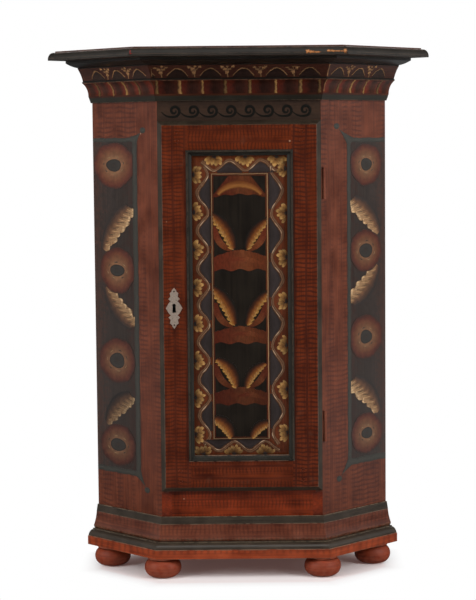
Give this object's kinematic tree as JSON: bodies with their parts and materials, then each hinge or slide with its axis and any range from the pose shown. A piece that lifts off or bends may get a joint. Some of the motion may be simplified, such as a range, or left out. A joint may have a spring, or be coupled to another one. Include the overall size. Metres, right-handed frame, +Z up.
{
  "type": "corner cabinet",
  "caption": "Painted corner cabinet with canted sides, moulded cornice and plinth, bun feet, and a panelled door that swings on butt hinges and locks.",
  "frame": {"origin": "on the floor, under the middle of the cabinet's box", "axes": "+Z up, -Y out of the front, +X to the right of someone facing the door"},
  "size_m": [0.7648, 0.5546, 1.06],
  "materials": {
    "painted_boards": "pine, combed red-brown oil paint with dark painted fields, worn satin",
    "painted_door": "pine, combed dark red oil paint with dark green chamfer, worn satin",
    "painted_panel": "pine, painted vine border and dark field with leaf ornament, worn satin",
    "painted_panel_moulding": "pine, dark green oil paint, worn on the arrises",
    "painted_mouldings": "pine, bands of red and dark green oil paint with painted ornament",
    "painted_top": "pine, near-black green oil paint, chipped along the nose",
    "painted_feet": "turned pine, red oil paint, scuffed",
    "bare_pine": "planed, unpainted, aged",
    "wrought_iron": "forged, dark and dry",
    "tinned_iron": "filed sheet, tinned and dulled"
  },
  "bodies": {
    "cabinet": {"cabinet_floor": "bare_pine", "foot_front_left": "painted_feet", "foot_front_right": "painted_feet", "foot_side_left": "painted_feet", "foot_side_right": "painted_feet", "foot_rear": "painted_feet", "base_board": "painted_mouldings", "plinth_moulding_front": "painted_mouldings", "plinth_moulding_right": "painted_mouldings", "plinth_moulding_left": "painted_mouldings", "side_board_right": "painted_boards", "side_board_left": "painted_boards", "frieze_board": "painted_boards", "bottom_rail": "painted_boards", "back_plank_right_outer": "bare_pine", "back_plank_right_corner": "bare_pine", "back_plank_left_outer": "bare_pine", "back_plank_left_corner": "bare_pine", "back_nails": "wrought_iron", "shelf_lower": "bare_pine", "shelf_cleat_lower_left": "bare_pine", "shelf_cleat_lower_right": "bare_pine", "shelf_upper": "bare_pine", "shelf_cleat_upper_left": "bare_pine", "shelf_cleat_upper_right": "bare_pine", "crown_moulding_front": "painted_mouldings", "crown_moulding_right": "painted_mouldings", "crown_moulding_left": "painted_mouldings", "bed_moulding_front": "painted_mouldings", "bed_moulding_right": "painted_mouldings", "bed_moulding_left": "painted_mouldings", "top_board": "painted_top", "hinge_upper_frame_leaf": "wrought_iron", "hinge_upper_pin": "wrought_iron", "hinge_lower_frame_leaf": "wrought_iron", "hinge_lower_pin": "wrought_iron", "lock_keep": "wrought_iron", "cabinet_nails": "wrought_iron"},
    "door": {"door_rail_bottom": "painted_door", "door_rail_top": "painted_door", "door_stile_hinge": "painted_door", "door_stile_lock": "painted_door", "door_pegs": "painted_door", "door_panel": "painted_panel", "panel_moulding_right": "painted_panel_moulding", "panel_moulding_left": "painted_panel_moulding", "panel_moulding_top": "painted_panel_moulding", "panel_moulding_bottom": "painted_panel_moulding", "hinge_upper_door_leaf": "wrought_iron", "hinge_lower_door_leaf": "wrought_iron", "escutcheon": "tinned_iron", "escutcheon_pins": "tinned_iron", "lock_case": "wrought_iron", "lock_spring": "wrought_iron", "door_nails": "wrought_iron"},
    "lock_bolt": {"lock_bolt": "wrought_iron"}
  },
  "joints": [
    {"name": "door_swing", "type": "hinge", "parent": "cabinet", "child": "door", "pos_m": [0.16805, -0.16259, 0.547], "axis": [0, 0, 1], "range_deg": [0, 165]},
    {"name": "bolt_throw", "type": "slide", "parent": "door", "child": "lock_bolt", "axis": [-1, 0, 0], "range_m": [0, 0.008]}
  ]
}
